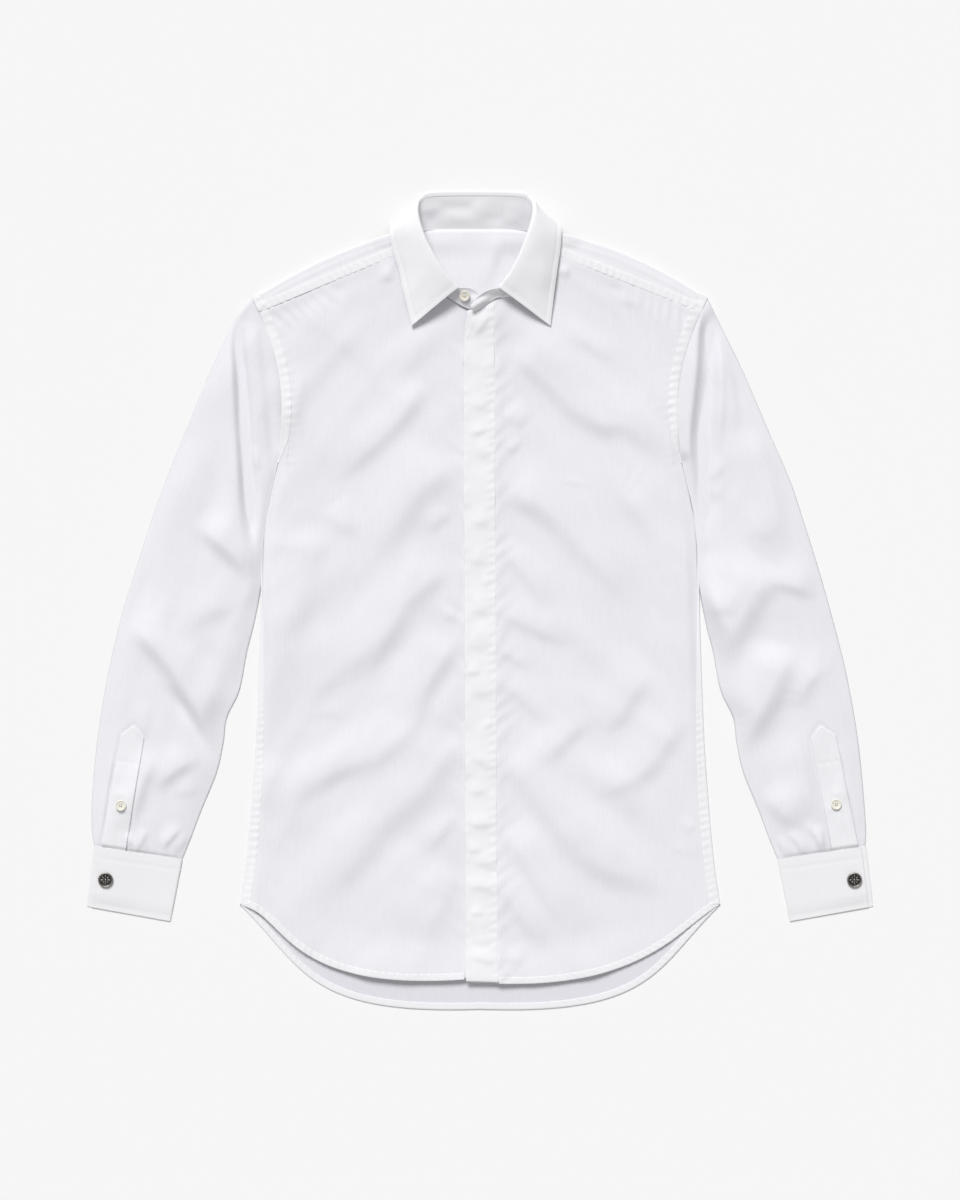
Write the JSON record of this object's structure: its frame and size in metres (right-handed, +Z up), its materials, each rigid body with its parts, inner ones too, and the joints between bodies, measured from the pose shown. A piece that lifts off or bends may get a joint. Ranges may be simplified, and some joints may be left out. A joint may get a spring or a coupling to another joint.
{
  "type": "long sleeve dress shirt",
  "caption": "Long-sleeved dress shirt laid flat: fly front, turned-down collar, shirt-tail hem, sleeve plackets and link cuffs.",
  "frame": {"origin": "on the surface the shirt lies on, under the middle of its outline", "axes": "+Z up off the surface, +Y towards the collar, +X towards the wearer's left sleeve"},
  "size_m": [0.786, 0.819, 0.0302],
  "materials": {
    "shirting": "fine white cotton poplin, matt with a slight sheen",
    "fused_cotton": "white cotton poplin over a fused stiffener",
    "pearl": "ivory pearl, polished",
    "gunmetal": "dark antiqued metal"
  },
  "bodies": {
    "root": {"back": "shirting", "yoke": "shirting", "front_right": "shirting", "front_left": "shirting", "fly_placket": "shirting", "sleeve_right": "shirting", "sleeve_left": "shirting", "sleeve_placket_right": "shirting", "sleeve_placket_left": "shirting", "cuff_right": "fused_cotton", "cuff_left": "fused_cotton", "collar_stand": "fused_cotton", "collar_leaf": "fused_cotton", "button_stand": "pearl", "button_sleeve_right": "pearl", "button_sleeve_left": "pearl", "cuff_link_right": "gunmetal", "cuff_link_left": "gunmetal"}
  },
  "joints": []
}
